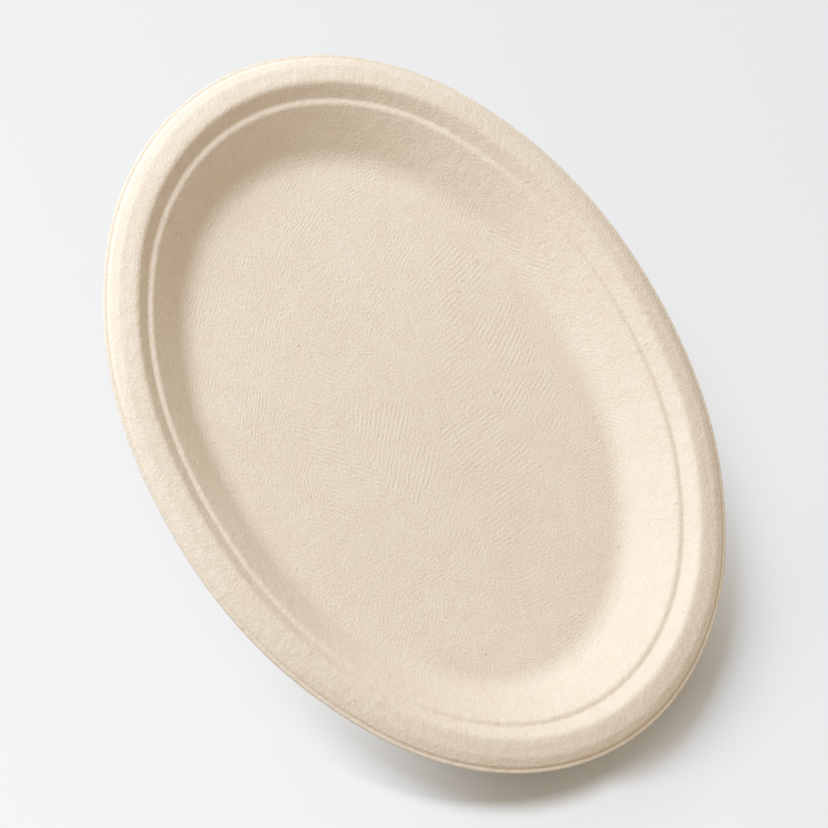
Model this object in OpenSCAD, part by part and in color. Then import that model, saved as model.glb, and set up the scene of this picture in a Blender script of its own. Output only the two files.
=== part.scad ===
// Oval plate moulded in one piece from plant fibre.
// One thin wall follows a pressed section: trim lip, groove, flank, rounded shoulder, sloping bevel,
// broad crown, step, narrow ledge, sloping wall, cove and flat floor. The section is carried round an
// oval of four tangent arcs. The origin is under the middle of the floor, with X along the plate.

/* [Outline] */
// Overall length, from tip to tip of the trim lip
plate_l = 260; // [240:1:330]
// Overall width across the trim lip
plate_w = 212; // [200:1:236]
// Half the width less the radius of the two end arcs; the rest of the curve follows from it
end_spare = 11; // [8:1:26]

/* [Wall] */
// Overall height, from the underside of the floor to the top of the crown
plate_h = 16.5; // [12:0.5:26]
// Thickness of the moulded wall
wall_t = 0.8; // [0.6:0.1:1.2]

/* [Trim lip and flank] */
// Width of the flat trim lip outside the flank
lip_w = 1.4; // [1.1:0.1:4]
// Drop from the top of the crown to the top of the lip
lip_drop = 2.1; // [1.8:0.1:6]
// Sideways run of the steep outer flank
flank_run = 0.8; // [0.3:0.1:2]
// Bend radius of the groove between lip and flank
groove_r = 0.8; // [0.7:0.1:1.2]
// Bend radius of the shoulder between flank and bevel
shoulder_r = 1.2; // [0.7:0.1:2]

/* [Bevel] */
// Width of the sloping bevel between shoulder and crown
bevel_w = 2.7; // [2:0.1:4]
// Fall of the bevel, from the crown to the shoulder
bevel_fall = 1; // [0.4:0.1:1.4]
// Bend radius between bevel and crown
bevel_r = 4; // [2:0.5:8]

/* [Crown] */
// Width of the crown, from bevel to inner edge
crown_w = 6.1; // [4:0.1:10]
// Width of the level strip along the crown's inner edge
crown_flat = 2.2; // [1:0.1:3]
// Fall of the crown, from the level strip to the bevel
crown_fall = 0.3; // [0.1:0.05:0.5]
// Bend radius beside the level strip
crown_r = 14; // [6:1:20]

/* [Step and ledge] */
// Sideways run of the step's slope
step_run = 4.6; // [3:0.1:8]
// Drop from the top of the crown to the ledge
step_drop = 3.8; // [2:0.1:5]
// Width of the narrow ledge
ledge_w = 1.9; // [1.2:0.1:3]
// Bend radius at the crown's inner edge
brink_r = 3; // [1:0.1:4]
// Bend radius at the two edges of the ledge
ledge_r = 2; // [0.8:0.1:2]

/* [Well] */
// Sideways run of the wall's slope, from the ledge to the level of the floor
wall_run = 15.5; // [12:0.5:22]
// Bend radius of the cove between wall and floor
cove_r = 22; // [6:1:24]

/* [Hidden] */
$fn = 180;

pulp = [0.89, 0.83, 0.74];

// Degrees of bend that one facet of the section covers
bend_step = 9;
// A bend's tangent takes at most this share of the shorter straight beside it
tangent_share = 0.48;

// Four-arc outline: the end arcs are centred on X, the side arcs on Y, and they meet in tangency
half_l = plate_l / 2;
half_w = plate_w / 2;
end_r = half_w - end_spare;
end_x = half_l - end_r;
side_r = snap((end_x * end_x + half_w * half_w - end_r * end_r) / (2 * (half_w - end_r)));
side_y = side_r - half_w;
meet_angle = atan2(side_y, end_x);

// Levels of the middle of the wall
floor_z = wall_t / 2;
crown_z = plate_h - wall_t / 2;
lip_z = crown_z - lip_drop;
ledge_z = crown_z - step_drop;

// Insets of the section's corners, measured inward from the outline
flank_in = lip_w;
shoulder_in = flank_in + flank_run;
crown_in = shoulder_in + bevel_w;
brink_in = crown_in + crown_w;
ledge_out = brink_in + step_run;
ledge_in = ledge_out + ledge_w;
foot_in = ledge_in + wall_run;

// Corners of the wall's middle line as [inset, height, bend radius], from the floor out to the lip
function corners(arc_r) = [
    [arc_r, floor_z, 0],
    [foot_in, floor_z, cove_r],
    [ledge_in, ledge_z, ledge_r],
    [ledge_out, ledge_z, ledge_r],
    [brink_in, crown_z, brink_r],
    [brink_in - crown_flat, crown_z, crown_r],
    [crown_in, crown_z - crown_fall, bevel_r],
    [shoulder_in, crown_z - crown_fall - bevel_fall, shoulder_r],
    [flank_in, lip_z, groove_r],
    [0, lip_z, 0]
];

// Lengths rounded to a thousandth, so that the arcs of the outline meet on the same section
function snap(v) = round(v * 1000) / 1000;

function flat(p) = [p.x, p.y];
function unit(v) = v / norm(v);
function upward_of(v) = [v.y, -v.x];

// Point and normal at the end of the path that starts at a and runs toward b
function end_point(p, a, b) = [flat(p), upward_of(unit(flat(b) - flat(a)))];

// Points and normals round the bend at corner b of the path a, b, c
function bend(a, b, c) =
    let (
        u = unit(flat(a) - flat(b)),
        v = unit(flat(c) - flat(b)),
        half = acos(max(-1, min(1, u * v))) / 2,
        room = tangent_share * min(norm(flat(a) - flat(b)), norm(flat(c) - flat(b))),
        reach = min(b.z / tan(half), room),
        radius = reach * tan(half),
        centre = flat(b) + unit(u + v) * radius / sin(half),
        side = cross(-u, v) > 0 ? 1 : -1,
        turn = 180 - 2 * half,
        steps = max(3, ceil(turn / bend_step)),
        from = flat(b) + u * reach - centre
    )
    [
        for (i = [0 : steps])
            let (
                t = side * turn * i / steps,
                arm = [from.x * cos(t) - from.y * sin(t), from.x * sin(t) + from.y * cos(t)]
            )
            [centre + arm, unit(arm) * side]
    ];

// Middle line of the wall as a list of [point, normal], with its bends rounded
function wall_path(q) =
    let (last = len(q) - 1)
    concat(
        [end_point(q[0], q[0], q[1])],
        [for (i = [1 : last - 1]) each bend(q[i - 1], q[i], q[i + 1])],
        [end_point(q[last], q[last - 1], q[last])]
    );

// Closed section of the wall: one face of it out to the lip and the other face back
module section(arc_r) {
    path = wall_path(corners(arc_r));
    count = len(path);
    upper = [for (p = path) p[0] + p[1] * wall_t / 2];
    lower = [for (i = [1 : count]) path[count - i][0] - path[count - i][1] * wall_t / 2];
    polygon([for (p = concat(upper, lower)) [arc_r - snap(p.x), snap(p.y)]]);
}

// One quarter of the plate: an end arc and a side arc that share the plane through both centres
module quarter() {
    intersection() {
        cube([plate_l, plate_w, plate_h]);
        translate([end_x, 0])
            rotate(meet_angle) {
                rotate_extrude(angle = 90, start = -90)
                    section(end_r);
                translate([end_r - side_r, 0])
                    rotate_extrude(angle = 90)
                        section(side_r);
            }
    }
}

module half() {
    quarter();
    mirror([1, 0]) quarter();
}

module plate() {
    color(pulp) {
        half();
        mirror([0, 1]) half();
    }
}

plate();
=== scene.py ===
"""An oval plate moulded from plant fibre, lying on a pale studio floor.

The visual plate is one mesh of the same pressed section as the CAD plate, with the small unevenness
and trim of real moulded pulp. Lengths are in millimetres here and become metres when a mesh is made.
"""

import math

import bpy
import numpy as np
from mathutils import Matrix, Vector


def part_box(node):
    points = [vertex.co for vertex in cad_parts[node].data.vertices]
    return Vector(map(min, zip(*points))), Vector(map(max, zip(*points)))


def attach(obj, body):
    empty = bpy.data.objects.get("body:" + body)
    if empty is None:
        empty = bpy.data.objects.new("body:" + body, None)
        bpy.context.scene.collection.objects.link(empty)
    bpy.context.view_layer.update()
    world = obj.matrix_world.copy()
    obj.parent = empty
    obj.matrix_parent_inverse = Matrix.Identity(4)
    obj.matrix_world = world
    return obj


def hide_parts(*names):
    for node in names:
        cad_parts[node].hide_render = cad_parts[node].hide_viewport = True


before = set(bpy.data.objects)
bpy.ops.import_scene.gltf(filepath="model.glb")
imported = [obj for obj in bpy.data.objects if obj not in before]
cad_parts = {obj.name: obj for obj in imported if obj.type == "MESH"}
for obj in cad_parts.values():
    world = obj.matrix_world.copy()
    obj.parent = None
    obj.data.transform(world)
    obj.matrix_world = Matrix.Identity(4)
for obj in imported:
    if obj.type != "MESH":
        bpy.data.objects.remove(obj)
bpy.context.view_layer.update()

MM = 0.001
IMAGE_PX = 828
SEED = 7

# Outline and height, taken from the frame
low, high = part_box("plate")
PLATE_L = (high.x - low.x) / MM
PLATE_W = (high.y - low.y) / MM
PLATE_H = (high.z - low.z) / MM
END_SPARE = 11
END_R = PLATE_W / 2 - END_SPARE

# Section of the wall
WALL_T = 0.8
LIP_W = 1.4
LIP_DROP = 2.1
FLANK_RUN = 0.8
GROOVE_R = 0.8
SHOULDER_R = 1.2
BEVEL_W = 2.7
BEVEL_FALL = 1
BEVEL_R = 4
CROWN_W = 6.1
CROWN_FLAT = 2.2
CROWN_FALL = 0.3
CROWN_R = 14
STEP_RUN = 4.6
STEP_DROP = 3.8
LEDGE_W = 1.9
BRINK_R = 3
LEDGE_R = 2
WALL_RUN = 15.5
COVE_R = 22
TRIM_ROUND = 0.15

# How finely the mesh follows the section and the outline
BEND_STEP = math.radians(6)
TANGENT_SHARE = 0.48
PATH_STEP = 1.1
STATIONS = 450
FLOOR_RINGS = 60
UNDER_RINGS = 8
FLOOR_MARGIN = 1.5

# View of the photograph: directions in degrees, lengths in millimetres
VIEW_TILT = 32.49
VIEW_AZIMUTH = -79.58
VIEW_ROLL = -51.53
VIEW_DISTANCE = 1062.0
FOCAL_PX = 3200.0
PLATE_PX = (428.8, 402.5)

# Lamp and sky. Directions are angles in the image, from the right and downward; lengths are metres
KEY_ANGLE = 215
KEY_ELEVATION = 36
KEY_DISTANCE = 1.5
KEY_SIZE = 0.8
KEY_LEVEL = 0.66
KEY_COLOUR = (0.865, 1.0, 1.165)
SKY_LEVEL = 0.405
SKY_COLOUR = (1.20, 1.0, 0.76)

# Half the floor's side in metres, and the gap under the plate in millimetres
FLOOR_SIZE = 6.0
FLOOR_GAP = 0.05

# The white that the camera sees: its level, the angle it is brightest toward, and by how much it
# changes over how many metres. That change is a painted falloff of light across the floor
BACKDROP = 0.868
BACKDROP_ANGLE = 147
BACKDROP_SPAN = 0.27
BACKDROP_FALL = 0.055
# Where the floor keeps the plate's shadow. Its reach is a share of the plate
SHADOW_ANGLE = 60
SHADOW_REACH = 0.1
SHADOW_STRETCH = 0.68
# A painted shadow that darkens the white near the plate: the angle it lies toward and how much it darkens
PAINTED_SHADOW_ANGLE = 30
PAINTED_SHADOW_LEVEL = 0.12

# Unevenness of the pulp: sizes of the swells and their lengths, in millimetres
TRIM_WAVE = 0.12
TRIM_FRAY = 0.1
LIP_SAG = 0.2
FLOOR_LIFT = 0.12
FLOOR_SWELL = 70
GRAIN_DEPTH = 0.025
GRAIN_SWELL = 16

# Slow drift of the outline, in millimetres: how far this plate strays from four true arcs
DRIFT_3_COS = 0.32
DRIFT_3_SIN = 0.24
DRIFT_4_SIN = -0.09
DRIFT_5_COS = 0.10
DRIFT_6_COS = 0.38

# Patches of print that the forming screen left on the floor, as the photo shows them:
# middle in millimetres, radius, direction of the ridges in degrees, pitch and strength
PRINT = (
    (-35, 41, 16, 110, 1.7, 1.0),
    (-10, 50, 15, 122, 1.7, 1.2),
    (-8, 30, 14, 98, 1.7, 0.9),
    (12, 48, 14, 118, 1.7, 1.1),
    (20, 22, 15, 98, 1.7, 1.0),
    (40, 15, 13, 98, 1.7, 0.8),
    (68, 14, 12, 84, 1.7, 0.7),
    (14, 65, 10, 38, 1.35, 1.8),
    (26, 67, 10, 38, 1.3, 1.8),
    (-30, 77, 11, 42, 1.4, 1.6),
    (-42, 73, 10, 36, 1.4, 1.5),
    (38, -5, 12, 127, 1.65, 0.9),
    (15, -9, 13, 135, 1.65, 1.0),
    (-2, -10, 16, 139, 1.6, 1.2),
    (10, -31, 15, 46, 1.6, 1.9),
    (-31, -21, 15, 42, 1.7, 1.7),
    (-17, -35, 13, 50, 1.7, 1.7),
    (33, -30, 13, 30, 1.3, 1.4),
    (4, -49, 9, 136, 1.1, 0.9),
    (-19, -49, 12, 140, 1.2, 0.8),
)
# Fainter patches fill the rest of the floor: how many are tried, how far apart they stay, their
# radius, directions, pitch and strength
FAINT_TRIES = 200
FAINT_APART = 17
FAINT_RADIUS = 13
FAINT_WAYS = (45, 95, 118, 136)
FAINT_PITCH = 1.3
FAINT_STRENGTH = 0.6
PRINT_HEIGHT = 0.036
# Swells that bend the ridges and fray the edges of the patches: length and size in millimetres
RIDGE_SWELL = 24
RIDGE_BEND = 0.6
FRAY_SWELL = 8
FRAY_SIZE = 3.0

# Long faint creases on the floor: start, end, half width and depth in millimetres
CREASES = (
    ((-79, 23), (-34, 20), 1.0, 0.06),
    ((-42, 21), (24, 12), 1.2, 0.09),
    ((54.7, 10.1), (54.4, 17), 0.35, 0.1),
)

# Height of the fibre grain and of the broader lumps, on the floor and on the rim, in millimetres
FINE_FLOOR = 0.34
FINE_RIM = 0.3
LUMPS_FLOOR = 0.16
LUMPS_RIM = 0.36
SPECK_DEPTH = 0.03

# Colours
PULP_DEEP = (0.775, 0.660, 0.525, 1)
PULP_PALE = (0.805, 0.695, 0.560, 1)
STREAK = (0.735, 0.60, 0.46, 1)
MOTTLE = (0.83, 0.73, 0.61, 1)
SPECK = (0.36, 0.26, 0.15, 1)
STUDIO_FLOOR = (0.82, 0.865, 0.92, 1)


# Section of the wall

def unit(v):
    return v / np.linalg.norm(v)


def bend(a, b, c, radius):
    """Points and normals round the bend at corner b of the path a, b, c."""
    u = unit(a - b)
    v = unit(c - b)
    half = math.acos(max(-1, min(1, float(u @ v)))) / 2
    room = TANGENT_SHARE * min(np.linalg.norm(a - b), np.linalg.norm(c - b))
    reach = min(radius / math.tan(half), room)
    centre = b + unit(u + v) * reach * math.tan(half) / math.sin(half)
    side = 1 if v[0] * u[1] - v[1] * u[0] > 0 else -1
    turn = math.pi - 2 * half
    steps = max(3, math.ceil(turn / BEND_STEP))
    start = b + u * reach - centre
    out = []
    for i in range(steps + 1):
        t = side * turn * i / steps
        arm = np.array([
            start[0] * math.cos(t) - start[1] * math.sin(t),
            start[0] * math.sin(t) + start[1] * math.cos(t),
        ])
        out.append((centre + arm, unit(arm) * side))
    return out


def wall_corners():
    """Corners of the wall's middle line, [inset, height, bend radius], from the floor to the lip."""
    floor_z = WALL_T / 2
    crown_z = PLATE_H - WALL_T / 2
    ledge_z = crown_z - STEP_DROP
    lip_z = crown_z - LIP_DROP
    shoulder_in = LIP_W + FLANK_RUN
    crown_in = shoulder_in + BEVEL_W
    brink_in = crown_in + CROWN_W
    ledge_out = brink_in + STEP_RUN
    ledge_in = ledge_out + LEDGE_W
    foot_in = ledge_in + WALL_RUN
    slope = math.atan2(ledge_z - floor_z, WALL_RUN)
    floor_in = foot_in + COVE_R * math.tan(slope / 2) + FLOOR_MARGIN
    return [
        (floor_in, floor_z, 0),
        (foot_in, floor_z, COVE_R),
        (ledge_in, ledge_z, LEDGE_R),
        (ledge_out, ledge_z, LEDGE_R),
        (brink_in, crown_z, BRINK_R),
        (brink_in - CROWN_FLAT, crown_z, CROWN_R),
        (crown_in, crown_z - CROWN_FALL, BEVEL_R),
        (shoulder_in, crown_z - CROWN_FALL - BEVEL_FALL, SHOULDER_R),
        (LIP_W, lip_z, GROOVE_R),
        (0, lip_z, 0),
    ]


def middle_line():
    """The wall's middle line as points and normals, no more than PATH_STEP apart."""
    corners = wall_corners()
    flat = [np.array(c[:2], float) for c in corners]
    up = np.array([0.0, 1.0])
    path = [(flat[0], up)]
    for i in range(1, len(flat) - 1):
        path += bend(flat[i - 1], flat[i], flat[i + 1], corners[i][2])
    path.append((flat[-1], up))
    points = []
    normals = []
    for (p, n), (q, m) in zip(path, path[1:]):
        count = max(1, math.ceil(np.linalg.norm(q - p) / PATH_STEP))
        for k in range(count):
            s = k / count
            points.append(p + (q - p) * s)
            normals.append(unit(n + (m - n) * s))
    points.append(path[-1][0])
    normals.append(path[-1][1])
    return np.array(points), np.array(normals)


# Outline of four tangent arcs

def stations():
    """Arc centre, direction and radius at each station round the outline, in even steps of length."""
    half_l = PLATE_L / 2
    half_w = PLATE_W / 2
    end_x = half_l - END_R
    side_r = (end_x**2 + half_w**2 - END_R**2) / (2 * (half_w - END_R))
    side_y = side_r - half_w
    meet = math.atan2(side_y, end_x)
    arcs = [
        ((end_x, 0), END_R, -meet, meet),
        ((0, -side_y), side_r, meet, math.pi - meet),
        ((-end_x, 0), END_R, math.pi - meet, math.pi + meet),
        ((0, side_y), side_r, math.pi + meet, 2 * math.pi - meet),
    ]
    total = sum(r * (b - a) for _, r, a, b in arcs)
    centres = []
    angles = []
    radii = []
    for centre, r, a, b in arcs:
        count = round(STATIONS * r * (b - a) / total)
        for k in range(count):
            centres.append(centre)
            angles.append(a + (b - a) * k / count)
            radii.append(r)
    angles = np.array(angles)
    return np.array(centres), np.c_[np.cos(angles), np.sin(angles)], np.array(radii)


# Unevenness of real pulp

def ripple(angle, waves, size, rng):
    """A smooth closed curve between 0 and size, with as many swells round the plate as waves gives."""
    total = sum(
        np.cos(k * angle + rng.uniform(0, 2 * math.pi)) * rng.uniform(0.5, 1) for k in waves
    )
    total = total - total.min()
    return size * total / total.max()


def swell(x, y, length, size, rng, terms=14):
    """A smooth field over the plate, between -size and size, with swells about one length long."""
    total = np.zeros_like(x)
    for _ in range(terms):
        way = rng.uniform(0, 2 * math.pi)
        wave = 2 * math.pi / (length * rng.uniform(0.7, 1.6))
        total += np.sin((x * math.cos(way) + y * math.sin(way)) * wave + rng.uniform(0, 6.28))
    return size * total / math.sqrt(terms / 2) / 2.2


def smooth(t):
    t = np.clip(t, 0, 1)
    return t * t * (3 - 2 * t)


def outline_drift(angle):
    """How far the outline strays outward at that angle. It is nothing at the ends of both axes."""
    return (
        DRIFT_3_COS * (np.cos(3 * angle) - np.cos(angle))
        + DRIFT_3_SIN * (np.sin(3 * angle) + np.sin(angle))
        + DRIFT_4_SIN * np.sin(4 * angle)
        + DRIFT_5_COS * (np.cos(5 * angle) - np.cos(angle))
        + DRIFT_6_COS * (np.cos(6 * angle) - np.cos(2 * angle))
    )


def print_patches(rng):
    """The patches named above and the faint ones between them."""
    patches = list(PRINT)
    for _ in range(FAINT_TRIES):
        turn = rng.uniform(0, 2 * math.pi)
        share = math.sqrt(rng.uniform(0, 0.62))
        px = share * math.cos(turn) * PLATE_L / 2
        py = share * math.sin(turn) * PLATE_W / 2
        way = FAINT_WAYS[rng.integers(len(FAINT_WAYS))]
        if min(math.dist((px, py), patch[:2]) for patch in patches) > FAINT_APART:
            patches.append((px, py, FAINT_RADIUS, way, FAINT_PITCH, FAINT_STRENGTH))
    return patches


def print_map(x, y, rng):
    """Phase and strength of the screen's ridges at each point of the grid, as the nearest patch has
    them. Where the patch changes from one point to the next the strength is nothing."""
    bent_x = x + swell(x, y, RIDGE_SWELL, RIDGE_BEND, rng)
    bent_y = y + swell(x, y, RIDGE_SWELL, RIDGE_BEND, rng)
    ragged_x = x + swell(x, y, FRAY_SWELL, FRAY_SIZE, rng, 30)
    ragged_y = y + swell(x, y, FRAY_SWELL, FRAY_SIZE, rng, 30)
    phase = np.zeros_like(x)
    strength = np.zeros_like(x)
    best = np.zeros_like(x)
    second = np.zeros_like(x)
    owner = np.zeros_like(x)
    for number, (px, py, radius, way, pitch, own_strength) in enumerate(print_patches(rng), 1):
        across = math.radians(way + 90)
        nearness = 1 - np.hypot(ragged_x - px, ragged_y - py) / (1.5 * radius)
        along = (bent_x - px) * math.cos(across) + (bent_y - py) * math.sin(across)
        wins = nearness > best
        second = np.where(wins, best, np.maximum(second, nearness))
        best = np.where(wins, nearness, best)
        phase = np.where(wins, along * 2 * math.pi / pitch, phase)
        strength = np.where(wins, own_strength, strength)
        owner = np.where(wins, number, owner)
    strength *= smooth(best / 0.4) * smooth((best - second) / 0.14)
    for step in ((0, 1), (1, 0), (1, 1), (1, -1)):
        back = (-step[0], -step[1])
        border = owner != np.roll(owner, step, (0, 1))
        strength[border | np.roll(border, back, (0, 1))] = 0
    return phase, strength


# The plate

def plate_mesh():
    rng = np.random.default_rng(SEED)
    path, normal = middle_line()
    centre, way, radius = stations()
    round_angle = np.arctan2(centre[:, 1] + way[:, 1] * radius, centre[:, 0] + way[:, 0] * radius)
    trim_in = ripple(round_angle, range(2, 9), TRIM_WAVE, rng)
    trim_in = trim_in + ripple(round_angle, range(40, 90), TRIM_FRAY, rng)
    lip_sag = ripple(round_angle, range(2, 7), LIP_SAG, rng)
    drift = outline_drift(round_angle)

    def loop(inset, height):
        """One closed ring of the plate at that inset and height."""
        share = 1 - smooth(inset / 3)
        xy = centre + way * (radius - inset - share * trim_in + drift)[:, None]
        z = height - lip_sag * (1 - smooth(inset / 14))
        return np.c_[xy, z]

    def face(side, floor_rings):
        """Rings of the upper or lower face, from the middle of the floor to the lip."""
        p = path + normal * side * WALL_T / 2
        p[-1] += (TRIM_ROUND, 0)
        # Every second ring is enough for the lower face
        if side < 0:
            p = p[::-2][::-1]
        rings = [loop(w, z) for w, z in p]
        inner = rings[0]
        floor = []
        for k in range(floor_rings):
            share = (k + 0.35) / floor_rings
            floor.append(inner * (share, share, 1))
        return floor + rings

    upper = face(1, FLOOR_RINGS)
    lower = face(-1, UNDER_RINGS)
    lip_z = path[-1][1]
    edge = [loop(0, lip_z + s * (WALL_T / 2 - TRIM_ROUND)) for s in (1, -1)]
    rings = upper + edge + lower[::-1]
    verts = np.concatenate(rings)
    x, y = verts[:, 0], verts[:, 1]
    well = 1 - smooth((np.hypot(x / PLATE_L, y / PLATE_W) * 2 - 0.45) / 0.3)
    lift = swell(x, y, FLOOR_SWELL, FLOOR_LIFT, rng) + FLOOR_LIFT
    grain = swell(x, y, GRAIN_SWELL, GRAIN_DEPTH, rng, 40)
    verts[:, 2] += well * lift + grain * smooth((PLATE_H - 0.1 - verts[:, 2]) / 1)
    verts = np.clip(verts, (-PLATE_L / 2, -PLATE_W / 2, 0), (PLATE_L / 2, PLATE_W / 2, PLATE_H))

    count = len(centre)
    nxt = np.roll(np.arange(count), -1)
    faces = []
    for r in range(len(rings) - 1):
        a = r * count + np.arange(count)
        b = r * count + nxt
        faces.append(np.c_[a, b, b + count, a + count])
    quads = np.concatenate(faces)[:, ::-1]
    last = (len(rings) - 1) * count
    caps = [np.arange(count).tolist(), (last + np.arange(count))[::-1].tolist()]
    mesh = bpy.data.meshes.new("pulp_plate")
    mesh.from_pydata((verts * MM).tolist(), [], quads.tolist() + caps)
    mesh.validate()
    mesh.polygons.foreach_set("use_smooth", [True] * len(mesh.polygons))
    grid = verts.reshape(len(rings), count, 3)
    for name, values in zip(("print_phase", "print_strength"), print_map(grid[..., 0], grid[..., 1], rng)):
        mesh.attributes.new(name, "FLOAT", "POINT").data.foreach_set("value", values.ravel())
    mesh.update()
    return mesh


# Materials

class Nodes:
    """Short calls for building a node tree."""

    def __init__(self, tree):
        self.tree = tree

    def add(self, kind, **settings):
        node = self.tree.nodes.new(kind)
        inputs = settings.pop("inputs", {})
        for name, value in settings.items():
            setattr(node, name, value)
        for name, value in inputs.items():
            self.put(node.inputs[name], value)
        return node

    def put(self, socket, value):
        if isinstance(value, bpy.types.NodeSocket):
            self.tree.links.new(value, socket)
        else:
            socket.default_value = value

    def math(self, operation, a, b=0.0, c=0.0):
        node = self.add("ShaderNodeMath", operation=operation)
        for socket, value in zip(node.inputs, (a, b, c)):
            self.put(socket, value)
        return node.outputs[0]

    def ramp(self, value, low, high, to_low=0.0, to_high=1.0):
        """Value carried smoothly from the range low..high to the range to_low..to_high."""
        node = self.add("ShaderNodeMapRange", interpolation_type="SMOOTHSTEP")
        for name, v in (("Value", value), ("From Min", low), ("From Max", high),
                        ("To Min", to_low), ("To Max", to_high)):
            self.put(node.inputs[name], v)
        return node.outputs["Result"]

    def noise(self, where, per_mm, detail=2.0, rough=0.5, lean=0.0):
        node = self.add("ShaderNodeTexNoise", noise_dimensions="3D")
        for name, v in (("Vector", where), ("Scale", per_mm), ("Detail", detail),
                        ("Roughness", rough), ("Distortion", lean)):
            self.put(node.inputs[name], v)
        return node.outputs["Fac"]

    def shift(self, where, offset):
        node = self.add("ShaderNodeVectorMath", operation="ADD")
        self.put(node.inputs[0], where)
        self.put(node.inputs[1], offset)
        return node.outputs[0]

    def mix(self, share, a, b, blend="MIX"):
        node = self.add("ShaderNodeMix", data_type="RGBA", blend_type=blend)
        self.put(node.inputs["Factor"], share)
        self.put(node.inputs["A"], a)
        self.put(node.inputs["B"], b)
        return node.outputs["Result"]


def screen_print(n, where):
    """Ridges of the forming screen, broken here and there, between -1 and 1."""
    phase = n.add("ShaderNodeAttribute", attribute_name="print_phase").outputs["Fac"]
    strength = n.add("ShaderNodeAttribute", attribute_name="print_strength").outputs["Fac"]
    jitter = n.math("MULTIPLY", n.noise(where, 0.3, 2.0, 0.6), 3.2)
    ridge = n.math("SINE", n.math("ADD", phase, jitter))
    broken = n.ramp(n.noise(n.shift(where, (31.0, 7.0, 0.0)), 0.35, 2.0), 0.38, 0.6, 0.3, 1.0)
    faded = n.ramp(n.noise(n.shift(where, (5.0, 60.0, 0.0)), 0.06, 2.0), 0.36, 0.56, 0.35, 1.0)
    return n.math("MULTIPLY", n.math("MULTIPLY", ridge, strength), n.math("MULTIPLY", broken, faded))


def crease(n, x, y, start, end, half_width):
    """A faint broken crease between two points of the floor, in millimetres."""
    along = Vector((end[0] - start[0], end[1] - start[1]))
    length = along.length
    along.normalize()
    dx = n.math("SUBTRACT", x, start[0])
    dy = n.math("SUBTRACT", y, start[1])
    run = n.math("ADD", n.math("MULTIPLY", dx, along.x), n.math("MULTIPLY", dy, along.y))
    off = n.math("SUBTRACT", n.math("MULTIPLY", dx, along.y), n.math("MULTIPLY", dy, along.x))
    across = n.ramp(n.math("ABSOLUTE", off), 0.0, half_width, 1.0, 0.0)
    fade = min(12.0, length / 4)
    ends = n.math("MULTIPLY", n.ramp(run, 0.0, fade), n.ramp(run, length - fade, length, 1.0, 0.0))
    return n.math("MULTIPLY", across, ends)


def new_material(name):
    """An empty material and the node calls for it."""
    mat = bpy.data.materials.new(name)
    mat.use_nodes = True
    mat.node_tree.nodes.clear()
    return mat, Nodes(mat.node_tree)


def specks(n, mm):
    """Short fibres and specks, 1 where one lies and 0 elsewhere."""
    tangle = n.add("ShaderNodeTexNoise", noise_dimensions="3D")
    n.put(tangle.inputs["Vector"], mm)
    n.put(tangle.inputs["Scale"], 0.5)
    bent = n.add("ShaderNodeVectorMath", operation="MULTIPLY_ADD")
    n.put(bent.inputs[0], tangle.outputs["Color"])
    n.put(bent.inputs[1], (3.0, 3.0, 3.0))
    n.put(bent.inputs[2], mm)
    fibres = n.add("ShaderNodeTexVoronoi", voronoi_dimensions="3D", feature="F1")
    n.put(fibres.inputs["Vector"], bent.outputs[0])
    n.put(fibres.inputs["Scale"], 0.3)
    chance = n.add("ShaderNodeSeparateColor")
    n.put(chance.inputs[0], fibres.outputs["Color"])
    size = n.ramp(chance.outputs[0], 0.72, 1.0, 0.0, 0.12)
    return n.math("LESS_THAN", fibres.outputs["Distance"], size)


def pulp_relief(n, mm, speck):
    """Height of the surface in millimetres: print, fibre grain, creases and specks."""
    split = n.add("ShaderNodeSeparateXYZ")
    n.put(split.inputs[0], mm)
    x, y, z = split.outputs

    # The print shows on the floor and at the foot of the wall
    on_floor = n.ramp(z, 2.0, 8.0, 1.0, 0.0)
    printed = n.math("MULTIPLY", screen_print(n, mm), n.math("MULTIPLY", on_floor, PRINT_HEIGHT))

    # Fibre grain all over, with broader lumps on the walls and rim
    fine = n.noise(mm, 1.1, 4.0, 0.7, 0.3)
    fine = n.math("MULTIPLY", fine, n.ramp(z, 2.0, 12.0, FINE_FLOOR, FINE_RIM))
    lumps = n.noise(n.shift(mm, (9.0, 3.0, 5.0)), 0.28, 3.0, 0.55)
    lumps = n.math("MULTIPLY", lumps, n.ramp(z, 2.0, 10.0, LUMPS_FLOOR, LUMPS_RIM))
    relief = n.math("ADD", printed, n.math("ADD", fine, lumps))

    gap = n.ramp(n.noise(n.shift(mm, (4.0, 40.0, 0.0)), 0.13, 2.0), 0.4, 0.62)
    for start, end, half_width, depth in CREASES:
        line = n.math("MULTIPLY", crease(n, x, y, start, end, half_width), gap)
        relief = n.math("MULTIPLY_ADD", line, -depth, relief)
    return n.math("MULTIPLY_ADD", speck, -SPECK_DEPTH, relief)


def pulp_colour(n, mm, speck):
    """Pale tan, with soft clouds, streaks, fine mottling and a few darker specks."""
    cloud = n.ramp(n.noise(mm, 0.02, 3.0), 0.3, 0.7)
    colour = n.mix(cloud, PULP_DEEP, PULP_PALE)
    streak = n.ramp(n.noise(n.shift(mm, (17.0, 5.0, 1.0)), 0.14, 4.0, 0.6), 0.35, 0.7, 0.0, 0.35)
    colour = n.mix(streak, colour, STREAK)
    mottle = n.ramp(n.noise(n.shift(mm, (3.0, 8.0, 2.0)), 0.9, 4.0, 0.65), 0.25, 0.75, 0.0, 0.4)
    colour = n.mix(mottle, colour, MOTTLE)
    return n.mix(n.math("MULTIPLY", speck, 0.35), colour, SPECK)


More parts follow.
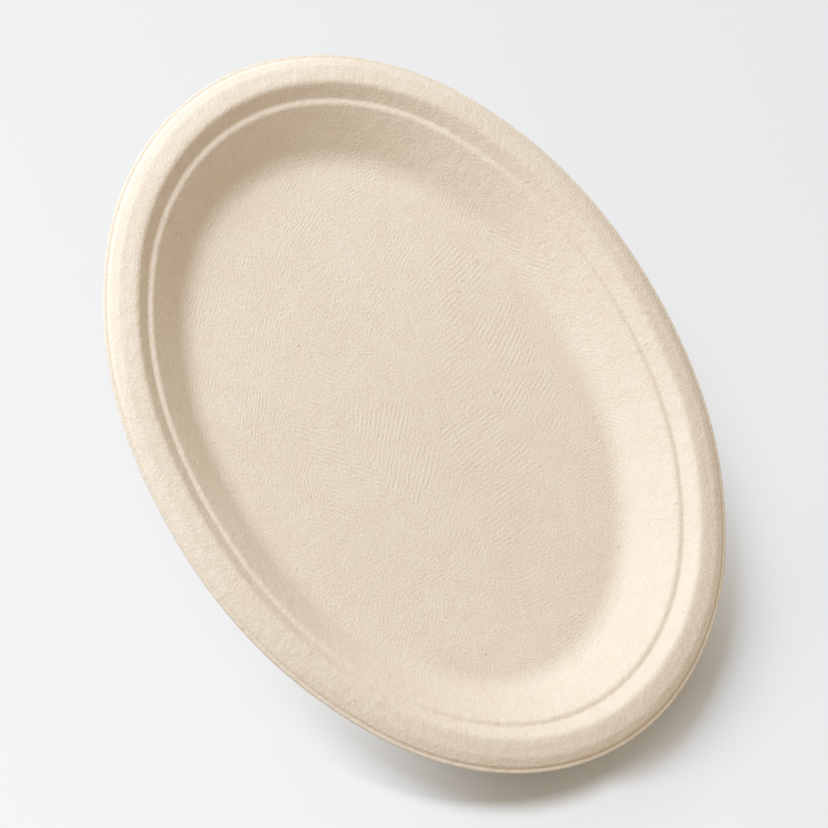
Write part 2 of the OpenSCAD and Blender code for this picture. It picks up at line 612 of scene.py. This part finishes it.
def pulp_material():
    mat, n = new_material("unbleached_pulp")
    to_mm = n.add("ShaderNodeVectorMath", operation="SCALE")
    n.put(to_mm.inputs[0], n.add("ShaderNodeTexCoord").outputs["Object"])
    n.put(to_mm.inputs["Scale"], 1 / MM)
    mm = to_mm.outputs[0]
    speck = specks(n, mm)

    bump = n.add("ShaderNodeBump")
    n.put(bump.inputs["Height"], pulp_relief(n, mm, speck))
    n.put(bump.inputs["Distance"], MM)
    n.put(bump.inputs["Strength"], 1.0)

    shader = n.add("ShaderNodeBsdfPrincipled")
    n.put(shader.inputs["Base Color"], pulp_colour(n, mm, speck))
    n.put(shader.inputs["Roughness"], 0.6)
    n.put(shader.inputs["Specular IOR Level"], 0.4)
    n.put(shader.inputs["Normal"], bump.outputs[0])
    out = n.add("ShaderNodeOutputMaterial")
    n.put(out.inputs["Surface"], shader.outputs[0])
    return mat


def toward(n, vector, angle):
    """How far a vector points along the level direction that shows in the image at that angle."""
    dot = n.add("ShaderNodeVectorMath", operation="DOT_PRODUCT")
    n.put(dot.inputs[0], vector)
    n.put(dot.inputs[1], floor_way(angle))
    return dot.outputs["Value"]


def seen_white(n, place):
    """Share and strength of the white that the camera sees at a place on the floor."""
    unit_way = n.add("ShaderNodeVectorMath", operation="NORMALIZE", inputs={"Vector": place})
    way = unit_way.outputs[0]

    # Distance outside the plate's outline, as a share of the plate
    oval = n.add("ShaderNodeVectorMath", operation="MULTIPLY")
    n.put(oval.inputs[0], place)
    n.put(oval.inputs[1], (2 / (PLATE_L * MM), 2 / (PLATE_W * MM), 0.0))
    size = n.add("ShaderNodeVectorMath", operation="LENGTH")
    n.put(size.inputs[0], oval.outputs[0])
    outside = n.math("SUBTRACT", size.outputs["Value"], 1.0)

    # The shadow is long on the right of the image and short below the plate
    right = n.math("POWER", n.math("MAXIMUM", toward(n, way, 0), 0.0), 3.0)
    reach = n.math("MAXIMUM", n.math("MULTIPLY", right, SHADOW_STRETCH), SHADOW_REACH)
    away = n.ramp(outside, 0.03, reach, 0.0, 0.95)
    turned = n.math("SQRT", n.math("SUBTRACT", 1.0, toward(n, way, SHADOW_ANGLE)))
    lit_side = n.ramp(turned, 0.16, 0.8, 0.0, 0.95)

    # The white falls away to the right as painted light, with a soft painted shadow near the plate there
    left = toward(n, place, BACKDROP_ANGLE)
    level = n.ramp(left, -BACKDROP_SPAN, BACKDROP_SPAN, BACKDROP - BACKDROP_FALL, BACKDROP + BACKDROP_FALL)
    aside = n.math("POWER", n.math("MAXIMUM", toward(n, way, PAINTED_SHADOW_ANGLE), 0.0), 3.0)
    painted_shadow = n.math("MULTIPLY", aside, n.ramp(outside, 0.0, 0.35, PAINTED_SHADOW_LEVEL, 0.0))
    return n.math("MAXIMUM", away, lit_side), n.math("SUBTRACT", level, painted_shadow)


def floor_material():
    """A pale floor. To the camera it is white away from the plate, and it keeps the plate's shadow."""
    mat, n = new_material("studio_floor")
    shader = n.add("ShaderNodeBsdfPrincipled")
    n.put(shader.inputs["Base Color"], STUDIO_FLOOR)
    n.put(shader.inputs["Roughness"], 0.9)
    n.put(shader.inputs["Specular IOR Level"], 0.1)

    share, level = seen_white(n, n.add("ShaderNodeTexCoord").outputs["Object"])
    glow = n.add("ShaderNodeEmission")
    n.put(glow.inputs["Strength"], level)
    rays = n.add("ShaderNodeLightPath")
    seen = n.add("ShaderNodeMixShader")
    n.put(seen.inputs[0], n.math("MULTIPLY", rays.outputs["Is Camera Ray"], share))
    n.put(seen.inputs[1], shader.outputs[0])
    n.put(seen.inputs[2], glow.outputs[0])
    out = n.add("ShaderNodeOutputMaterial")
    n.put(out.inputs["Surface"], seen.outputs[0])
    return mat


# Stage, light and camera

def view_axes():
    """The camera's right, up and back axes in the plate's frame."""
    tilt, azimuth, roll = (math.radians(v) for v in (VIEW_TILT, VIEW_AZIMUTH, VIEW_ROLL))
    back = Vector((math.sin(tilt) * math.cos(azimuth), math.sin(tilt) * math.sin(azimuth), math.cos(tilt)))
    level_up = (Vector((0, 0, 1)) - back * back.z).normalized()
    level_right = (-back).cross(level_up)
    up = level_up * math.cos(roll) + level_right * math.sin(roll)
    right = level_right * math.cos(roll) - level_up * math.sin(roll)
    return right, up, back


def add_camera():
    right, up, back = view_axes()
    half = IMAGE_PX / 2
    aside = (PLATE_PX[0] - half) / FOCAL_PX * VIEW_DISTANCE
    below = (PLATE_PX[1] - half) / FOCAL_PX * VIEW_DISTANCE
    target = Vector((0, 0, PLATE_H))
    place = target + back * VIEW_DISTANCE - right * aside + up * below
    data = bpy.data.cameras.new("camera")
    data.sensor_width = 36
    data.lens = FOCAL_PX / IMAGE_PX * data.sensor_width
    camera = bpy.data.objects.new("camera", data)
    camera.matrix_world = Matrix.Translation(place * MM) @ Matrix((right, up, back)).transposed().to_4x4()
    bpy.context.scene.collection.objects.link(camera)
    bpy.context.scene.camera = camera


def floor_way(angle):
    """Level direction that shows in the image at that angle, from the right and downward."""
    right, up, _ = view_axes()
    turn = math.radians(angle)
    way = right * math.cos(turn) - up * math.sin(turn)
    way.z = 0
    return way.normalized()


def key_way():
    """Direction of the lamp, beyond the end of the plate that lies up and left in the image."""
    rise = math.radians(KEY_ELEVATION)
    return floor_way(KEY_ANGLE) * math.cos(rise) + Vector((0, 0, 1)) * math.sin(rise)


def add_key():
    way = key_way()
    data = bpy.data.lights.new("key", "AREA")
    data.shape = "SQUARE"
    data.size = KEY_SIZE
    data.color = KEY_COLOUR
    data.energy = KEY_LEVEL * math.pi**2 * KEY_DISTANCE**2 / way.z
    lamp = bpy.data.objects.new("key", data)
    turn = way.to_track_quat("Z", "Y").to_matrix().to_4x4()
    lamp.matrix_world = Matrix.Translation(way * KEY_DISTANCE) @ turn
    bpy.context.scene.collection.objects.link(lamp)


def add_sky():
    """Even light from all round, which the camera sees as a white wall."""
    world = bpy.data.worlds.new("studio")
    world.use_nodes = True
    tree = world.node_tree
    tree.nodes.clear()
    n = Nodes(tree)
    rays = n.add("ShaderNodeLightPath")
    seen = n.math("MAXIMUM", rays.outputs["Is Camera Ray"], rays.outputs["Is Glossy Ray"])
    seen = n.math("MAXIMUM", seen, rays.outputs["Is Transmission Ray"])
    sky = n.add("ShaderNodeBackground", inputs={"Color": SKY_COLOUR + (1.0,), "Strength": SKY_LEVEL})
    wall = n.add("ShaderNodeBackground", inputs={"Strength": BACKDROP})
    both = n.add("ShaderNodeMixShader")
    n.put(both.inputs[0], seen)
    n.put(both.inputs[1], sky.outputs[0])
    n.put(both.inputs[2], wall.outputs[0])
    out = n.add("ShaderNodeOutputWorld")
    n.put(out.inputs["Surface"], both.outputs[0])
    bpy.context.scene.world = world


def add_floor():
    size = FLOOR_SIZE
    mesh = bpy.data.meshes.new("studio_floor")
    corners = [(-size, -size, 0), (size, -size, 0), (size, size, 0), (-size, size, 0)]
    mesh.from_pydata(corners, [], [(0, 1, 2, 3)])
    mesh.materials.append(floor_material())
    floor = bpy.data.objects.new("studio_floor", mesh)
    floor.location.z = low.z - FLOOR_GAP * MM
    bpy.context.scene.collection.objects.link(floor)


def add_plate():
    plate = bpy.data.objects.new("pulp_plate", plate_mesh())
    plate.data.materials.append(pulp_material())
    bpy.context.scene.collection.objects.link(plate)
    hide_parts("plate")
    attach(plate, "root")


add_camera()
add_plate()
add_floor()
add_key()
add_sky()
bpy.context.scene.view_settings.view_transform = "Standard"
